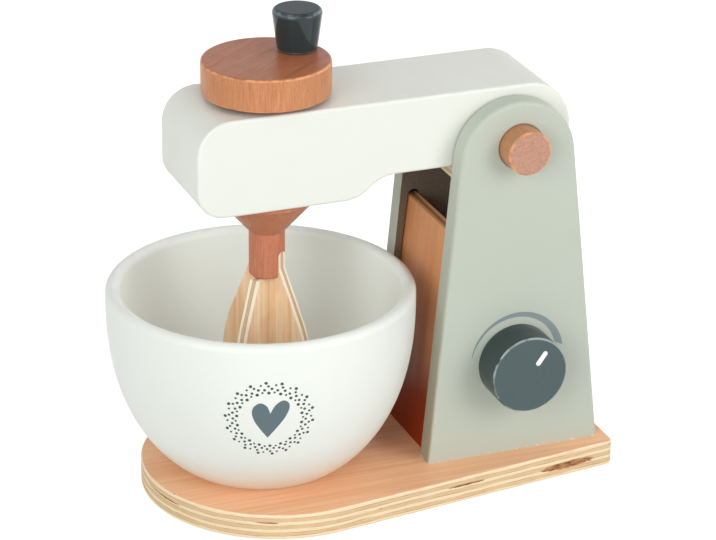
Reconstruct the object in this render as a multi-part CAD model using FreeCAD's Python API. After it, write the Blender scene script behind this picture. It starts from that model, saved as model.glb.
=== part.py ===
import FreeCAD, Part
import math
import os

V = FreeCAD.Vector

# Wooden toy stand mixer, in millimetres.
# The origin is where the whisk's axis meets the underside of the board. +Z is up, +X runs from the
# bowl to the column, and -Y is the side with the dial.

# Clearances
glue_gap = 0.05          # round a glued or pressed joint
run_gap = 0.08           # radial, round a shaft that turns
slide_gap = 0.2          # between flat faces that move past each other
screw_gap = 0.3          # radial, round a screw's shank where it only passes through

# Board
board_t = 12.0
board_nose_r = 63.1      # round front end
board_nose_x = 4.9
board_behind = 5.0       # behind the column's foot
board_beside = 7.25      # beside the column, at the rear end, where the sides have drawn in
board_corner_r = 3.4
board_arris = 0.8

# Column panels, heights are above the board
panel_t = 10.0
panel_side_gap = 0.8     # between a panel and the arm
panel_tuck = 2.8         # how far the column's foot stands in under the bowl's rim
panel_foot = 85.6        # length of the foot, between the slanted edges
panel_top_back = 41.1    # centre of the round top, behind the front of the foot
panel_top_h = 144.3
panel_top_r = 27.8
panel_outer_arris = 2.0
panel_inner_arris = 0.5

# Plywood plates that close the column
plate_t = 5.0
front_plate_drop = 37.0  # top edge below the centre of the panels' round tops
rear_plate_drop = 19.6
plate_inset = 3.3        # from the panel's slanted edge, at the foot
plate_extra_lean = 0.8   # degrees that the front plate leans more than the panel's edge
groove_slack = 0.95      # a groove is wider than its plate by this and by the glue's gap
groove_depth = 4.0

# Pivot of the arm
pivot_back = 0.8         # behind the centre of the panels' round tops
pivot_rise = 6.9         # above it
pivot_r = 10.2
pivot_proud = 10.6       # how far the dowel stands out of a panel
pivot_bevel = 0.9
pivot_mouth = 0.7        # bevel round the dowel's hole in a panel
tenon_r = 7.0            # thinner end of the dowel, glued into the arm
tenon_length = 20.0

# Arm, heights are from the pivot
arm_w = 51.4
arm_top = 25.0
neck_rise = 0.2          # of the neck's underside, above the pivot dowel's lowest point
head_drop = 19.8
arm_nose = 40.7          # reach in front of the whisk's axis
arm_tail = 28.9          # reach behind the pivot
arm_nose_top_r = 15.8
arm_nose_low_r = 12.5
arm_tail_top_r = 21.1
arm_tail_low_r = 8.0
step_start_x = 27.6      # the S curve from the head's underside to the neck's
step_end_x = 52.0
arm_arris = 1.4

# Arm rest, a strip of board between the panels
rest_before_pivot = 4.7  # from the strip's rear edge to the pivot
rest_depth = 17.1
rest_pin_r = 2.5
rest_pin_in_panel = 6.0
rest_pin_in_strip = 8.0
rest_pin_spread = 8.5

# Crank
shaft_r = 6.0
crank_washer_r = 12.5
crank_washer_t = 2.0
disc_r = 29.0
disc_t = 15.2
disc_arris = 1.3
disc_socket = 10.0       # depth of the shaft's blind hole in the disc
knob_inset = 10.7         # of the knob's screw, from the disc's edge
knob_angle = 21.8        # degrees from +X
knob_low_r = 9.0
knob_top_r = 11.5
knob_h = 19.2
knob_low_round = 1.2
knob_top_round = 2.2

# Whisk hub and blades
hub_gap = 1.0            # under the head
hub_top_r = 22.5
hub_lip = 1.6
hub_flare_h = 16.2
hub_r = 8.2
hub_h = 39.5
hub_round = 1.4
hub_socket = 14.0
blade_t = 5.0
blade_angle = -53.5      # degrees from +X, of the slotted blade
blade_tang = 12.3        # how far the slotted blade goes up into the hub
blade_tang_round = 2.2   # on the two long edges of its top
blade_flare_h = 4.6      # the blade starts to widen this far above the hub's lower end
blade_belly_r = 23.4
blade_flare_length = 26.15  # straight part, between the hub and the round shoulder
blade_floor_gap = 15.6   # above the bowl's floor
blade_arris = 0.5

# Bowl, heights are above the board
bowl_x = -2.2
bowl_y = 2.1
bowl_r = 70.3
bowl_wall = 6.6
bowl_h = 86.0
bowl_band_h = 7.5        # upright band under the rim
bowl_sink = 10.2         # the outer curve would close this far below the board's top
bowl_fullness = 2.27
bowl_floor_t = 6.0
bowl_inner_fullness = 2.4
bowl_curve_points = 12

# Dial
dial_back = 1.1          # behind the centre of the panels' round tops
dial_h = 46.0
dial_r = 18.3
dial_t = 17.0
dial_arris = 1.2

# Screws
wood_screw_r = 1.9
wood_screw_head_r = 3.9
wood_screw_head_h = 2.4
wood_screw_length = 38.0
wood_screw_recess = 0.4
wood_screw_tip = 4.0
screw_in_from_foot = 16.5
pan_head_r = 3.8
pan_head_h = 2.6
pan_bore_r = 5.6         # counterbore for a pan head and its washer
pan_bore_depth = 5.4
washer_r = 5.0
washer_t = 0.8
knob_screw_bite = 12.0
dial_screw_bite = 12.0

# Places that follow from the sizes above
panel_inner_y = arm_w / 2 + panel_side_gap
panel_outer_y = panel_inner_y + panel_t
panel_front_x = bowl_x + bowl_r - panel_tuck
panel_rear_x = panel_front_x + panel_foot
panel_top_x = panel_front_x + panel_top_back
board_rear_x = panel_rear_x + board_behind
board_rear_y = panel_outer_y + board_beside
groove_w = plate_t + glue_gap + groove_slack
top_z = board_t + panel_top_h
pivot_x = panel_top_x + pivot_back
pivot_z = top_z + pivot_rise
arm_top_z = pivot_z + arm_top
neck_z = pivot_z - pivot_r + neck_rise
head_z = pivot_z - head_drop
dial_x = panel_top_x + dial_back
dial_z = board_t + dial_h
rest_rear_x = pivot_x - rest_before_pivot
disc_z = arm_top_z + crank_washer_t + slide_gap
knob_throw = disc_r - knob_inset
hub_top_z = head_z - hub_gap
hub_low_z = hub_top_z - hub_h
bowl_floor_z = board_t + bowl_floor_t
belly_z = bowl_floor_z + blade_floor_gap + blade_belly_r


def save(node, *shapes):
    shape = shapes[0] if len(shapes) == 1 else Part.makeCompound(list(shapes))
    solids = shape.Solids
    if not solids or not all(s.isValid() for s in solids):
        raise RuntimeError(node + " is not a valid solid")
    shape.exportStep(os.path.join("parts", node + ".step"))
    box = shape.BoundBox
    print(node, len(solids), "solid(s)", round(box.XLength, 1), round(box.YLength, 1), round(box.ZLength, 1))


def rod(x, y, z, r, h, way=V(0, 0, 1)):
    return Part.makeCylinder(r, h, V(x, y, z), way)


def line(a, b):
    return Part.LineSegment(a, b).toShape()


def arc(a, mid, b):
    return Part.Arc(a, mid, b).toShape()


def polar(centre, r, degrees, plane):
    c = r * math.cos(math.radians(degrees))
    s = r * math.sin(math.radians(degrees))
    return centre + (V(c, s, 0) if plane == "xy" else V(c, 0, s))


def arc_about(centre, r, start, end, plane):
    return arc(*[polar(centre, r, a, plane) for a in (start, (start + end) / 2, end)])


def area(edges):
    return Part.Face(Part.Wire(Part.__sortEdges__(edges)))


def prism(edges, way):
    return area(edges).extrude(way)


def turned(edges):
    return area(edges).revolve(V(0, 0, 0), V(0, 0, 1), 360)


def ease(shape, r, wanted):
    return shape.makeFillet(r, [e for e in shape.Edges if wanted(e)])


def in_plane(edge, axis, value):
    low = getattr(edge.BoundBox, axis + "Min")
    high = getattr(edge.BoundBox, axis + "Max")
    return abs(low - value) < 1e-4 and abs(high - value) < 1e-4


def edge_lean(foot_x, side):
    # The tangent from a panel's foot to its round top: lean from upright, and where it touches.
    dx = panel_top_x - foot_x
    reach = math.hypot(dx, panel_top_h)
    angle = math.atan2(panel_top_h, dx) + side * math.asin(panel_top_r / reach)
    run = math.sqrt(reach ** 2 - panel_top_r ** 2)
    touch = V(foot_x + run * math.cos(angle), 0, board_t + run * math.sin(angle))
    return 90 - math.degrees(angle), touch


front_lean, front_touch = edge_lean(panel_front_x, 1)
rear_lean, rear_touch = edge_lean(panel_rear_x, -1)


def screw_places():
    xs = (panel_front_x + screw_in_from_foot, panel_rear_x - screw_in_from_foot)
    y = (panel_inner_y + panel_outer_y) / 2
    return [(x, s * y) for x in xs for s in (-1, 1)]


def wood_screw(x, y, gap=0.0):
    # Countersunk head, shank and pointed tip, driven upwards from the board's underside.
    r = wood_screw_r + gap
    head_r = wood_screw_head_r + gap
    z = wood_screw_recess
    shank_top = z + wood_screw_length - wood_screw_tip
    head = Part.makeCone(head_r, r, wood_screw_head_h, V(x, y, z))
    shank = rod(x, y, z + wood_screw_head_h, r, shank_top - z - wood_screw_head_h)
    tip = Part.makeCone(r, r / 5, wood_screw_tip, V(x, y, shank_top))
    return head.fuse([shank, tip]).removeSplitter()


def cross_recess(x, y, z, way, size):
    # Cross slot that is cut into a screw's head.
    depth = size / 2
    arms = []
    for a, b in ((size, size / 4), (size / 4, size)):
        if abs(way.z) > 0.5:
            box = Part.makeBox(a, b, 2 * depth, V(x - a / 2, y - b / 2, z - depth))
        else:
            box = Part.makeBox(a, 2 * depth, b, V(x - a / 2, y - depth, z - b / 2))
        arms.append(box)
    return arms[0].fuse(arms[1])


def pan_screw(start, way, passes, bite):
    # The head's underside is at start, and the shank runs along way through what it passes.
    head = Part.makeCylinder(pan_head_r, pan_head_h, start - way * pan_head_h, way)
    top = start - way * pan_head_h
    head = ease(head, pan_head_h / 2, lambda e: e.Closed and (e.CenterOfMass - top).Length < pan_head_h / 2)
    head = head.cut(cross_recess(top.x, top.y, top.z, way, pan_head_r))
    shank = Part.makeCylinder(wood_screw_r, passes + bite, start, way)
    return head.fuse(shank).removeSplitter()


def washer(centre, way, r, t, hole_r):
    ring = Part.makeCylinder(r, t, centre, way)
    return ring.cut(Part.makeCylinder(hole_r, t, centre, way))


def make_board():
    corner = V(board_rear_x, -board_rear_y, 0)
    nose = V(board_nose_x, 0, 0)
    to_nose = nose - corner
    swing = math.acos(board_nose_r / to_nose.Length)
    touch_angle = math.degrees(math.atan2(-to_nose.y, -to_nose.x) - swing)
    touch = polar(nose, board_nose_r, touch_angle, "xy")
    mirror = V(touch.x, -touch.y, 0)
    far_corner = V(corner.x, board_rear_y, 0)
    edges = [
        arc_about(nose, board_nose_r, touch_angle, -360 - touch_angle, "xy"),
        line(touch, corner),
        line(corner, far_corner),
        line(far_corner, mirror),
    ]
    board = prism(edges, V(0, 0, board_t))
    board = ease(board, board_corner_r, lambda e: abs(e.BoundBox.ZLength - board_t) < 1e-4
                 and e.BoundBox.XMin > board_rear_x - 1e-3)
    board = ease(board, board_arris, lambda e: in_plane(e, "Z", 0) or in_plane(e, "Z", board_t))
    for x, y in screw_places():
        hole = rod(x, y, -1, wood_screw_head_r + screw_gap, 1 + wood_screw_recess)
        board = board.cut(hole.fuse(wood_screw(x, y, screw_gap)))
    save("base_board", board)


def slanted_strip(foot_x, lean, side, before, after, high, round_r):
    # Area between two parallel slanted lines, from the board up to the height high. Distances before
    # and after are level ones from the edge's foot, inwards. A round_r of 0 leaves the top flat.
    t = math.tan(math.radians(lean))
    z0 = board_t

    def at(offset, z):
        return V(foot_x + side * offset + t * (z - z0), 0, z)

    a0 = at(before, z0)
    b0 = at(after, z0)
    if round_r == 0:
        a1 = at(before, high)
        b1 = at(after, high)
        return [line(a0, a1), line(a1, b1), line(b1, b0), line(b0, a0)]
    centre = at((before + after) / 2, high - round_r)
    up = V(math.sin(math.radians(lean)), 0, math.cos(math.radians(lean)))
    across = V(up.z, 0, -up.x) * side
    a1 = centre - across * round_r
    b1 = centre + across * round_r
    return [line(a0, a1), arc(a1, centre + up * round_r, b1), line(b1, b0), line(b0, a0)]


def plate_slots():
    # Where each plate stands: level distances from the foot of the panel's slanted edge, inwards.
    slots = []
    for node, foot_x, lean, side, drop in (
            ("front_plate", panel_front_x, front_lean + plate_extra_lean, 1, front_plate_drop),
            ("rear_plate", panel_rear_x, rear_lean, -1, rear_plate_drop)):
        level = 1 / math.cos(math.radians(lean))
        plate_end = plate_inset + plate_t * level
        groove_end = plate_end + glue_gap
        slots.append({
            "node": node, "line": (foot_x, lean, side), "top": top_z - drop,
            "plate": (plate_inset, plate_end), "groove": (groove_end - groove_w * level, groove_end),
        })
    return slots


def make_panel(node, sign):
    inner = sign * panel_inner_y
    front_foot = V(panel_front_x, inner, board_t)
    rear_foot = V(panel_rear_x, inner, board_t)
    front_top = V(front_touch.x, inner, front_touch.z)
    rear_top = V(rear_touch.x, inner, rear_touch.z)
    crown = V(panel_top_x, inner, top_z + panel_top_r)
    edges = [line(front_foot, front_top), arc(front_top, crown, rear_top),
             line(rear_top, rear_foot), line(rear_foot, front_foot)]
    panel = prism(edges, V(0, sign * panel_t, 0))
    for y, r in ((sign * panel_outer_y, panel_outer_arris), (inner, panel_inner_arris)):
        panel = ease(panel, r, lambda e: in_plane(e, "Y", y) and not in_plane(e, "Z", board_t))
    for slot in plate_slots():
        strip = slanted_strip(*slot["line"], *slot["groove"], slot["top"] + groove_w / 2, groove_w / 2)
        groove = prism(strip, V(0, sign * groove_depth, 0))
        groove.translate(V(0, inner, 0))
        panel = panel.cut(groove)
    through = V(0, sign, 0)
    hole_r = pivot_r + run_gap
    panel = panel.cut(rod(pivot_x, inner, pivot_z, hole_r, panel_t, through))
    mouth = Part.makeCone(hole_r + pivot_mouth, hole_r, pivot_mouth,
                          V(pivot_x, sign * panel_outer_y, pivot_z), V(0, -sign, 0))
    panel = panel.cut(mouth)
    for x, z in rest_pin_places():
        panel = panel.cut(rod(x, inner, z, rest_pin_r + glue_gap, rest_pin_in_panel + glue_gap, through))
    for x, y in screw_places():
        if y * sign > 0:
            panel = panel.cut(wood_screw(x, y, glue_gap))
    if sign < 0:
        panel = panel.cut(rod(dial_x, inner, dial_z, wood_screw_r + run_gap, panel_t, through))
    save(node, panel)


def make_plates():
    for slot in plate_slots():
        half = panel_inner_y + groove_depth - glue_gap
        strip = slanted_strip(*slot["line"], *slot["plate"], slot["top"], 0)
        plate = prism(strip, V(0, 2 * half, 0))
        plate.translate(V(0, -half, 0))
        save(slot["node"], plate)


def rest_top_z():
    return neck_z - glue_gap


def rest_pin_places():
    middle = rest_rear_x - rest_depth / 2
    z = rest_top_z() - board_t / 2
    return [(middle + s * rest_pin_spread / 2, z) for s in (-1, 1)]


def make_arm_rest():
    half = panel_inner_y - glue_gap
    corner = V(rest_rear_x - rest_depth, -half, rest_top_z() - board_t)
    strip = Part.makeBox(rest_depth, 2 * half, board_t, corner)
    pins = []
    for x, z in rest_pin_places():
        for sign in (-1, 1):
            way = V(0, sign, 0)
            start = panel_inner_y - rest_pin_in_strip
            length = rest_pin_in_strip + rest_pin_in_panel
            pin = rod(x, sign * start, z, rest_pin_r, length, way)
            pins.append(ease(pin, rest_pin_r / 4, lambda e: e.Closed))
            strip = strip.cut(rod(x, sign * (start - glue_gap), z, rest_pin_r + glue_gap, length, way))
    save("arm_rest", strip)
    save("arm_rest_pins", *pins)
    stop = math.degrees(2 * math.atan(rest_before_pivot / (pivot_z - neck_z)))
    print("the neck meets the arm rest's rear edge at a tilt of", round(stop, 1), "degrees")


def make_screws():
    screws = []
    for x, y in screw_places():
        recess = cross_recess(x, y, wood_screw_recess, V(0, 0, 1), wood_screw_head_r)
        screws.append(wood_screw(x, y).cut(recess))
    save("base_screws", *screws)


def arm_outline():
    nose = -arm_nose
    tail = pivot_x + arm_tail

    def at(x, z):
        return V(x, -arm_w / 2, z)

    # Two equal arcs make the S curve between the head's underside and the neck's.
    run = (step_end_x - step_start_x) / 2
    rise = (neck_z - head_z) / 2
    bend = 2 * math.atan2(rise, run)
    step_r = run / math.sin(bend)
    middle = at(step_start_x + run, head_z + rise)
    half_run = step_r * math.sin(bend / 2)
    half_rise = step_r * (1 - math.cos(bend / 2))
    step_low = arc(at(step_start_x, head_z), at(step_start_x + half_run, head_z + half_rise), middle)
    step_high = arc(middle, at(step_end_x - half_run, neck_z - half_rise), at(step_end_x, neck_z))

    corners = (
        (at(nose + arm_nose_low_r, head_z + arm_nose_low_r), arm_nose_low_r, 270, 180),
        (at(nose + arm_nose_top_r, arm_top_z - arm_nose_top_r), arm_nose_top_r, 180, 90),
        (at(tail - arm_tail_top_r, arm_top_z - arm_tail_top_r), arm_tail_top_r, 90, 0),
        (at(tail - arm_tail_low_r, neck_z + arm_tail_low_r), arm_tail_low_r, 0, -90),
    )
    rounds = [arc_about(c, r, a, b, "xz") for c, r, a, b in corners]
    ends = [(polar(c, r, a, "xz"), polar(c, r, b, "xz")) for c, r, a, b in corners]
    edges = rounds + [step_low, step_high]
    edges += [line(ends[i][1], ends[i + 1][0]) for i in range(3)]
    edges.append(line(ends[3][1], at(step_end_x, neck_z)))
    edges.append(line(at(step_start_x, head_z), ends[0][0]))
    return edges


def make_arm():
    half = arm_w / 2
    arm = prism(arm_outline(), V(0, arm_w, 0))
    arm = ease(arm, arm_arris, lambda e: in_plane(e, "Y", -half) or in_plane(e, "Y", half))
    arm = arm.cut(rod(0, 0, head_z - 1, shaft_r + run_gap, arm_top_z - head_z + 2))
    for sign in (-1, 1):
        way = V(0, -sign, 0)
        arm = arm.cut(rod(pivot_x, sign * half, pivot_z, tenon_r + glue_gap, tenon_length + glue_gap, way))
    save("arm", arm)


def make_pivots():
    # One pivot on each side: its thick end turns in the panel, and its tenon is glued into the arm.
    shoulder = arm_w / 2 + glue_gap
    end = panel_outer_y + pivot_proud
    pivots = []
    for sign in (-1, 1):
        way = V(0, -sign, 0)
        head = rod(pivot_x, sign * end, pivot_z, pivot_r, end - shoulder, way)
        head = head.makeChamfer(pivot_bevel, [e for e in head.Edges if in_plane(e, "Y", sign * end)])
        tenon = rod(pivot_x, sign * end, pivot_z, tenon_r, end - shoulder + tenon_length, way)
        pivots.append(head.fuse(tenon).removeSplitter())
    save("pivot_dowels", *pivots)


def make_crank():
    save("crank_washer", washer(V(0, 0, arm_top_z), V(0, 0, 1), crank_washer_r, crank_washer_t,
                                shaft_r + run_gap))
    shaft_low = hub_top_z - hub_socket
    shaft_top = disc_z + disc_socket
    shaft = rod(0, 0, shaft_low, shaft_r, shaft_top - shaft_low)
    save("drive_shaft", ease(shaft, shaft_r / 8, lambda e: e.Closed))
    disc = rod(0, 0, disc_z, disc_r, disc_t)
    disc = ease(disc, disc_arris, lambda e: e.Closed)
    disc = disc.cut(rod(0, 0, disc_z, shaft_r + glue_gap, disc_socket + glue_gap))
    knob = polar(V(0, 0, 0), knob_throw, knob_angle, "xy")
    disc = disc.cut(rod(knob.x, knob.y, disc_z, pan_bore_r, pan_bore_depth))
    disc = disc.cut(rod(knob.x, knob.y, disc_z, wood_screw_r + run_gap, disc_t))
    save("crank_disc", disc)


def make_crank_knob():
    place = polar(V(0, 0, 0), knob_throw, knob_angle, "xy")
    low = disc_z + disc_t + slide_gap
    knob = Part.makeCone(knob_low_r, knob_top_r, knob_h, V(place.x, place.y, low))
    knob = ease(knob, knob_low_round, lambda e: e.Closed and in_plane(e, "Z", low))
    knob = ease(knob, knob_top_round, lambda e: e.Closed and in_plane(e, "Z", low + knob_h))
    knob = knob.cut(rod(place.x, place.y, low, wood_screw_r + glue_gap, knob_screw_bite))
    save("crank_knob", knob)
    up = V(0, 0, 1)
    washer_low = V(place.x, place.y, disc_z + pan_bore_depth - slide_gap - washer_t)
    save("crank_knob_washer", washer(washer_low, up, washer_r, washer_t, wood_screw_r + glue_gap))
    passes = low - washer_low.z
    save("crank_knob_screw", pan_screw(washer_low, up, passes, knob_screw_bite - glue_gap))


def make_hub():
    lip_z = hub_top_z - hub_lip
    flare_z = lip_z - hub_flare_h
    points = [V(0, 0, hub_low_z), V(hub_r, 0, hub_low_z), V(hub_r, 0, flare_z), V(hub_top_r, 0, lip_z),
              V(hub_top_r, 0, hub_top_z), V(0, 0, hub_top_z)]
    edges = [line(a, b) for a, b in zip(points, points[1:] + points[:1])]
    hub = turned(edges)
    hub = ease(hub, hub_round, lambda e: in_plane(e, "Z", hub_low_z) and e.BoundBox.XMax > hub_r - 0.1)
    hub = ease(hub, hub_lip / 3, lambda e: (in_plane(e, "Z", hub_top_z) or in_plane(e, "Z", lip_z))
               and e.BoundBox.XMax > hub_top_r - 0.1)
    hub = hub.cut(rod(0, 0, hub_top_z - hub_socket - glue_gap, shaft_r + glue_gap, hub_socket + glue_gap))
    hub = hub.cut(slot_for_blade())
    save("whisk_hub", hub)


def slot_for_blade():
    # A slot through the hub's lower end, with a round top as a cutter leaves it.
    half = blade_t / 2 + glue_gap
    top = hub_low_z + blade_tang + slide_gap
    spring = top - half
    reach = 2 * hub_r
    low = hub_low_z - 1
    edges = [line(V(-reach, -half, low), V(-reach, -half, spring)),
             arc(V(-reach, -half, spring), V(-reach, 0, top), V(-reach, half, spring)),
             line(V(-reach, half, spring), V(-reach, half, low)),
             line(V(-reach, half, low), V(-reach, -half, low))]
    slot = prism(edges, V(2 * reach, 0, 0))
    slot.rotate(V(0, 0, 0), V(0, 0, 1), blade_angle)
    return slot


def blade_outline(high, tang):
    # Half outline in the XZ plane, mirrored: an upright tang, a straight flare, a shoulder and a belly.
    flare_top = hub_low_z + blade_flare_h
    reach = flare_top - belly_z
    widening = blade_belly_r - hub_r
    shoulder_r = (reach ** 2 + widening ** 2 - blade_flare_length ** 2) / (2 * widening)
    flare = math.atan2(reach, shoulder_r - widening) - math.atan2(blade_flare_length, shoulder_r)
    centre = V(blade_belly_r - shoulder_r, 0, belly_z)
    flare_deg = math.degrees(flare)
    shoulder_top = polar(centre, shoulder_r, flare_deg, "xz")
    start = V(hub_r, 0, flare_top)
    if not tang:
        start = V(hub_r + math.tan(flare) * (flare_top - high), 0, high)
    edges = []
    for s in (1, -1):
        def m(p):
            return V(s * p.x, 0, p.z)
        if tang:
            edges.append(line(m(V(hub_r, 0, high)), m(start)))
        edges.append(line(m(start), m(shoulder_top)))
        middle = polar(centre, shoulder_r, flare_deg / 2, "xz")
        edges.append(arc(m(shoulder_top), m(middle), m(V(blade_belly_r, 0, belly_z))))
    edges.append(arc_about(V(0, 0, belly_z), blade_belly_r, 0, -180, "xz"))
    top_half = hub_r if tang else start.x
    edges.append(line(V(-top_half, 0, high), V(top_half, 0, high)))
    return edges


def make_blades():
    half = blade_t / 2
    low_z = belly_z - blade_belly_r
    lap_z = (low_z + hub_low_z) / 2
    lap = half + glue_gap
    top_a = hub_low_z + blade_tang
    top_b = hub_low_z - glue_gap
    for node, top, tang, quarter in (("whisk_blade_a", top_a, True, 0), ("whisk_blade_b", top_b, False, 90)):
        blade = prism(blade_outline(top, tang), V(0, blade_t, 0))
        blade.translate(V(0, -half, 0))
        blade = ease(blade, blade_arris, lambda e: (in_plane(e, "Y", -half) or in_plane(e, "Y", half))
                     and e.BoundBox.ZMax < hub_low_z - blade_arris and e.BoundBox.ZMin < belly_z + 1)
        if tang:
            blade = ease(blade, blade_tang_round,
                         lambda e: in_plane(e, "Z", top) and e.BoundBox.XLength > hub_r)
        slit_low = low_z - 1 if tang else lap_z - glue_gap
        slit_high = lap_z + glue_gap if tang else top + 1
        slit = Part.makeBox(2 * lap, blade_t + 2, slit_high - slit_low, V(-lap, -half - 1, slit_low))
        blade = blade.cut(slit)
        blade.rotate(V(0, 0, 0), V(0, 0, 1), blade_angle + quarter)
        save(node, blade)


def bowl_curve(r, z, depth, fullness, lowest):
    # A full, rounded quarter curve from upright at the radius r down towards the axis, cut off at lowest.
    points = []
    angle_end = 0.0
    if lowest > z - depth:
        angle_end = math.acos(((z - lowest) / depth) ** (fullness / 2))
    for i in range(bowl_curve_points + 1):
        a = math.pi / 2 + (angle_end - math.pi / 2) * i / bowl_curve_points
        points.append(V(r * math.sin(a) ** (2 / fullness), 0, z - depth * math.cos(a) ** (2 / fullness)))
    curve = Part.BSplineCurve()
    if angle_end == 0.0:
        curve.interpolate(Points=points, InitialTangent=V(0, 0, -1), FinalTangent=V(-1, 0, 0))
    else:
        curve.interpolate(Points=points)
    return curve.toShape(), points[-1]


def make_bowl():
    z = board_t + bowl_h - bowl_band_h
    lip_r = bowl_wall / 2
    lip_z = board_t + bowl_h - lip_r
    inner_r = bowl_r - bowl_wall
    depth = z - board_t + bowl_sink
    outer, foot = bowl_curve(bowl_r, z, depth, bowl_fullness, board_t)
    inner, centre = bowl_curve(inner_r, z, z - bowl_floor_z, bowl_inner_fullness, bowl_floor_z)
    edges = [
        line(V(0, 0, board_t), foot),
        outer,
        line(V(bowl_r, 0, z), V(bowl_r, 0, lip_z)),
        arc_about(V(bowl_r - lip_r, 0, lip_z), lip_r, 0, 180, "xz"),
        line(V(inner_r, 0, lip_z), V(inner_r, 0, z)),
        inner,
        line(centre, V(0, 0, board_t)),
    ]
    bowl = turned(edges)
    bowl.translate(V(bowl_x, bowl_y, 0))
    save("bowl", bowl)


def make_dial():
    out = V(0, -1, 0)
    back = panel_outer_y + slide_gap
    dial = rod(dial_x, -back, dial_z, dial_r, dial_t, out)
    dial = ease(dial, dial_arris, lambda e: e.Closed and in_plane(e, "Y", -back - dial_t))
    dial = ease(dial, dial_arris / 2, lambda e: e.Closed and in_plane(e, "Y", -back))
    dial = dial.cut(rod(dial_x, -back, dial_z, wood_screw_r + glue_gap, dial_screw_bite, out))
    save("dial_knob", dial)
    washer_at = V(dial_x, -panel_inner_y + slide_gap + washer_t, dial_z)
    save("dial_washer", washer(washer_at, out, washer_r, washer_t, wood_screw_r + glue_gap))
    passes = washer_at.y + back
    save("dial_screw", pan_screw(washer_at, out, passes, dial_screw_bite - glue_gap))


os.makedirs("parts", exist_ok=True)
make_board()
make_panel("dial_side_panel", -1)
make_panel("plain_side_panel", 1)
make_plates()
make_arm_rest()
make_screws()
make_arm()
make_pivots()
make_crank()
make_crank_knob()
make_hub()
make_blades()
make_bowl()
make_dial()
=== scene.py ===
import math

import bmesh
import bpy
from mathutils import Matrix, Vector, bvhtree


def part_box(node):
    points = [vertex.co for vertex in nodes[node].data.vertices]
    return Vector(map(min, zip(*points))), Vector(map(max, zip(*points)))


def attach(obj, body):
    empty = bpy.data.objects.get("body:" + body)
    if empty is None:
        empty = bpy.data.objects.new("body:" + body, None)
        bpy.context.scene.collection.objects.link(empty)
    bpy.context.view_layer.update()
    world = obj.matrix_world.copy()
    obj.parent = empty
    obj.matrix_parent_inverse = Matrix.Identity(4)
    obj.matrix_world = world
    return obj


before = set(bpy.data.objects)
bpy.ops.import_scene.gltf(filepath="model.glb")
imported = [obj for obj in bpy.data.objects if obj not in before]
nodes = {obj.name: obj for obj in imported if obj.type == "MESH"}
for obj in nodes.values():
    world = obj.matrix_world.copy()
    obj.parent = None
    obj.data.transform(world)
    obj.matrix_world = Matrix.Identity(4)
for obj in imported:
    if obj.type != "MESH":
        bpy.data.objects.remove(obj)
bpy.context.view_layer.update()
scene = bpy.context.scene
mm = 0.001
print("frame loaded with", len(nodes), "nodes")

# The toy stands at the origin in metres: +X to the column, -Y to the dial, +Z up.
xAxis = (1.0, 0.0, 0.0)
yAxis = (0.0, 1.0, 0.0)
zAxis = (0.0, 0.0, 1.0)
black = (0.0, 0.0, 0.0, 1.0)
white = (1.0, 1.0, 1.0, 1.0)


def screen(r, g, b):
    # 0 to 255 as seen on screen, turned into the linear colour a shader wants
    def linear(c):
        c /= 255
        return c / 12.92 if c <= 0.04045 else ((c + 0.055) / 1.055) ** 2.4
    return (linear(r), linear(g), linear(b), 1.0)


def startFinish(name, shine=0.5):
    # shine: how strongly the finish mirrors, 0.5 is plain lacquer
    mat = bpy.data.materials.new(name)
    mat.use_nodes = True
    shader = mat.node_tree.nodes["Principled BSDF"]
    shader.inputs["Specular IOR Level"].default_value = shine
    return mat, mat.node_tree, shader


def add(tree, kind, feeds=None, **settings):
    made = tree.nodes.new("ShaderNode" + kind)
    for name, value in settings.items():
        setattr(made, name, value)
    for key, value in (feeds or {}).items():
        if isinstance(value, bpy.types.NodeSocket):
            tree.links.new(value, made.inputs[key])
        else:
            made.inputs[key].default_value = value
    return made


def calc(tree, how, a, b=0.0):
    return add(tree, "Math", {0: a, 1: b}, operation=how).outputs[0]


def blendColour(tree, share, a, b, how="MIX"):
    return add(tree, "Mix", {0: share, 6: a, 7: b}, data_type="RGBA", blend_type=how).outputs[2]


def remap(tree, value, low, high, outLow=0.0, outHigh=1.0):
    # from outLow at or below low to outHigh at or above high, eased
    feeds = {"Value": value, "From Min": low, "From Max": high, "To Min": outLow, "To Max": outHigh}
    return add(tree, "MapRange", feeds, interpolation_type="SMOOTHSTEP").outputs[0]


def ramp(tree, value, stops, blend="LINEAR"):
    made = add(tree, "ValToRGB", {0: value})
    bar = made.color_ramp
    bar.interpolation = blend
    while len(bar.elements) > 1:
        bar.elements.remove(bar.elements[-1])
    bar.elements[0].position = stops[0][0]
    bar.elements[0].color = stops[0][1]
    for place, colour in stops[1:]:
        bar.elements.new(place).color = colour
    return made.outputs[0]


def along(tree, vector, axis):
    return add(tree, "VectorMath", {0: vector, 1: axis}, operation="DOT_PRODUCT").outputs["Value"]


def grainPoint(tree, axes, shift=(0.0, 0.0, 0.0)):
    # object coordinates turned so that x runs with the grain and z through the board
    here = add(tree, "TexCoord").outputs["Object"]
    parts = [along(tree, here, axis) for axis in axes]
    joined = add(tree, "CombineXYZ", {0: parts[0], 1: parts[1], 2: parts[2]}).outputs[0]
    moved = add(tree, "VectorMath", {0: joined, 1: shift}, operation="ADD").outputs[0]
    return moved, parts


def fibre(tree, point, size, detail=3.0, rough=0.55, warp=0.0):
    # noise whose cells are about size = (along, across, through) millimetres
    scale = tuple(1 / (s * mm) for s in size)
    put = add(tree, "Mapping", {"Vector": point, "Scale": scale}).outputs[0]
    feeds = {"Vector": put, "Scale": 1.0, "Detail": detail, "Roughness": rough, "Distortion": warp}
    return add(tree, "TexNoise", feeds).outputs[0]


def facing(tree, axis, signed=False):
    # 1 where the surface looks along the axis, either way unless signed
    dot = along(tree, add(tree, "TexCoord").outputs["Normal"], axis)
    return dot if signed else calc(tree, "ABSOLUTE", dot)


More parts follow.
